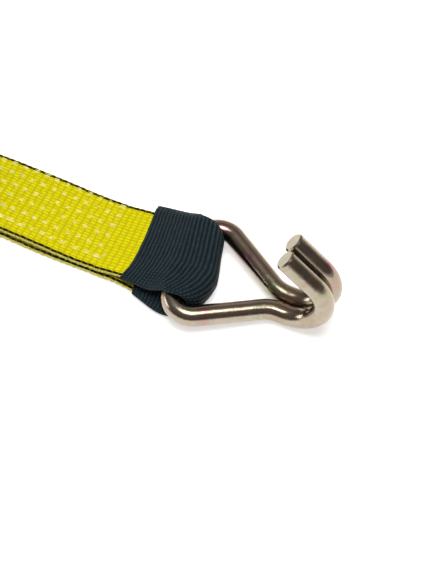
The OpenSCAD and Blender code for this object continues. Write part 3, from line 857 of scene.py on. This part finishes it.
SOFT_EDGES = {
    "frame_channel": 0.35, "handle_arm_near": 0.4, "handle_arm_far": 0.4, "drive_pawl": 0.35,
    "lock_pawl": 0.3, "ratchet_wheel_near": 0.25, "ratchet_wheel_far": 0.25,
    "spool_half_upper": 0.4, "spool_half_lower": 0.4, "anchor_nut": 0.2, "grip_nut": 0.2,
    "anchor_bolt": 0.2, "grip_bolt": 0.2, "anchor_washers": 0.15, "spool_washers": 0.15,
    "spacer_tube": 0.2, "spring_bar": 0.2,
}
for name, obj in NODES.items():
    slot = obj.data.materials[0].name.split(".")[0]
    if slot in MATERIALS:
        obj.data.materials[0] = MATERIALS[slot]
    if name in SOFT_EDGES:
        weld = obj.modifiers.new("weld", "WELD")
        weld.merge_threshold = 0.00001
        bevel = obj.modifiers.new("soft_edges", "BEVEL")
        bevel.width = SOFT_EDGES[name] * MM
        bevel.segments = 2
        bevel.limit_method = "ANGLE"
        bevel.angle_limit = math.radians(40)
        bevel.harden_normals = True
        bevel.use_clamp_overlap = True
NODES["hook"].data.materials[0] = HOOK_PLATE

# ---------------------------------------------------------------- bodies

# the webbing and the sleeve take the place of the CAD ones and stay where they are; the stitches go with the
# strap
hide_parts("webbing")
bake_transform(webbing)
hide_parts("wear_sleeve")
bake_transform(sleeve)
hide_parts("stitching")
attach(stitches, "strap")

# ---------------------------------------------------------------- floor

FLOOR = 3.0              # half its side, in metres
floor_mesh = bpy.data.meshes.new("floor")
corners = [(-FLOOR, -FLOOR, 0), (FLOOR, -FLOOR, 0), (FLOOR, FLOOR, 0), (-FLOOR, FLOOR, 0)]
floor_mesh.from_pydata(corners, [], [(0, 1, 2, 3)])
paper = Shader("floor_paper")
at = paper.coords()
away = paper.node("ShaderNodeVectorMath", operation="LENGTH")
paper.feed(away.inputs[0], at)
# the paper glows, more so away from the object, and so it runs into the white background
paper.feed(paper.bsdf.inputs["Emission Strength"], paper.between(away.outputs["Value"], 0.35, 1.3, 0.52, 1.0))
tone = paper.mix(paper.between(paper.noise(at, 14, 2.0), 0.3, 0.7), grey(0.90), grey(0.915))
paper.surface(tone, 0.85, Specular_IOR_Level=0.15, Emission_Color=rgb(1, 1, 1))
floor = add_object("floor", floor_mesh, paper.mat)
floor.location.z = -0.0004

# ---------------------------------------------------------------- studio

# The camera sees plain white. What lights the object is a dim room, pale low down, with a light ceiling
# and a pale panel behind the object.
ROOM = [(0.0, rgb(0.84, 0.77, 0.73)), (0.11, rgb(0.70, 0.63, 0.59)), (0.18, rgb(0.15, 0.11, 0.112)),
        (0.80, rgb(0.26, 0.23, 0.22)), (0.96, rgb(0.50, 0.48, 0.46)), (1.0, rgb(1.1, 1.1, 1.05))]
PANEL = rgb(0.66, 0.57, 0.52)
world = bpy.data.worlds.new("studio")
scene.world = world
world.use_nodes = True
world.node_tree.nodes.clear()
room = Nodes(world.node_tree)
toward = room.split(room.node("ShaderNodeTexCoord").outputs["Generated"])
behind = room.between(toward["Y"], 0.60, 0.76, kind="LINEAR")
below = room.between(toward["Z"], 0.66, 0.58, kind="LINEAR")
around = room.mix(room.math("MULTIPLY", behind, below), room.ramp(toward["Z"], ROOM), PANEL)
lit, seen = room.node("ShaderNodeBackground"), room.node("ShaderNodeBackground")
room.feed(lit.inputs["Color"], around)
room.feed(lit.inputs["Strength"], 0.70)
room.feed(seen.inputs["Color"], rgb(1, 1, 1))
choose = room.node("ShaderNodeMixShader")
room.feed(choose.inputs[0], room.node("ShaderNodeLightPath").outputs["Is Camera Ray"])
room.feed(choose.inputs[1], lit.outputs[0])
room.feed(choose.inputs[2], seen.outputs[0])
room.feed(room.node("ShaderNodeOutputWorld").inputs[0], choose.outputs[0])

LIGHTS_AIM = Vector((BAR_X * MM, 0, 0.02))


def softbox(name, place, size, watts, tint=(1, 1, 1)):
    """A rectangular light that faces the hook's bar."""
    data = bpy.data.lights.new(name, "AREA")
    data.shape = "RECTANGLE"
    data.size, data.size_y = size
    data.energy = watts
    data.color = tint
    lamp = bpy.data.objects.new(name, data)
    scene.collection.objects.link(lamp)
    lamp.location = place
    lamp.rotation_mode = "QUATERNION"
    lamp.rotation_quaternion = (LIGHTS_AIM - Vector(place)).to_track_quat("-Z", "Y")
    return lamp


overhead = softbox("overhead", (0.10, 0.10, 1.30), (1.1, 0.9), 9.6)
overhead.visible_glossy = False      # the metal mirrors only the two smaller lights and the room
softbox("gleam", (0.25, -0.13, 1.20), (0.62, 0.50), 5.2, (1.0, 0.97, 0.90))
softbox("left_fill", (-1.3, -0.5, 0.45), (0.8, 0.4), 3.5)

scene.view_settings.view_transform = "Standard"
scene.view_settings.look = "None"
scene.view_settings.exposure = 0.0
scene.view_settings.gamma = 1.0
